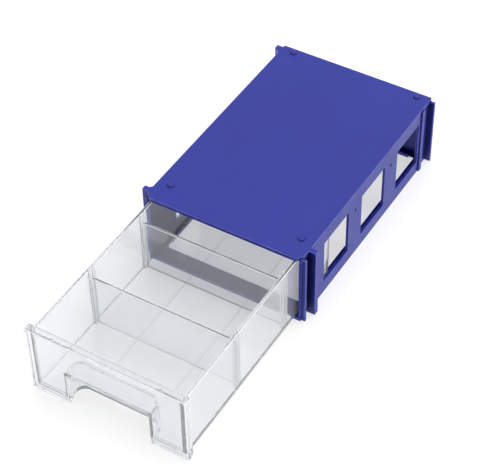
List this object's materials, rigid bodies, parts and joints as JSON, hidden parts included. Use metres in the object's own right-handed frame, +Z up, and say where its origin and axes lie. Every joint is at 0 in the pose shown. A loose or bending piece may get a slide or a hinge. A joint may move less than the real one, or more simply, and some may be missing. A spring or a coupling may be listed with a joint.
{
  "type": "stackable parts drawer",
  "caption": "Stackable parts organizer: blue moulded housing with side windows and linking ribs, and a clear pull-out drawer with lift-out dividers and a finger recess.",
  "frame": {"origin": "under the middle of the whole object's bounding box with the drawer pulled out, at the level it stands on", "axes": "+X to the right as seen from the drawer's front, +Y from the drawer's front towards the housing's back, +Z up"},
  "size_m": [0.0978, 0.2412, 0.044],
  "materials": {
    "housing_plastic": "semi-gloss moulded polypropylene",
    "clear_plastic": "clear polished polystyrene"
  },
  "bodies": {
    "housing": {"housing": "housing_plastic"},
    "drawer": {"drawer": "clear_plastic"},
    "divider_front": {"divider_front": "clear_plastic"},
    "divider_rear": {"divider_rear": "clear_plastic"}
  },
  "joints": [
    {"name": "drawer_slide", "type": "slide", "parent": "housing", "child": "drawer", "axis": [0, -1, 0], "range_m": [-0.0963, 0.02]},
    {"name": "divider_front_lift", "type": "slide", "parent": "drawer", "child": "divider_front", "axis": [0, 0, 1], "range_m": [0, 0.005]},
    {"name": "divider_rear_lift", "type": "slide", "parent": "drawer", "child": "divider_rear", "axis": [0, 0, 1], "range_m": [0, 0.005]}
  ]
}
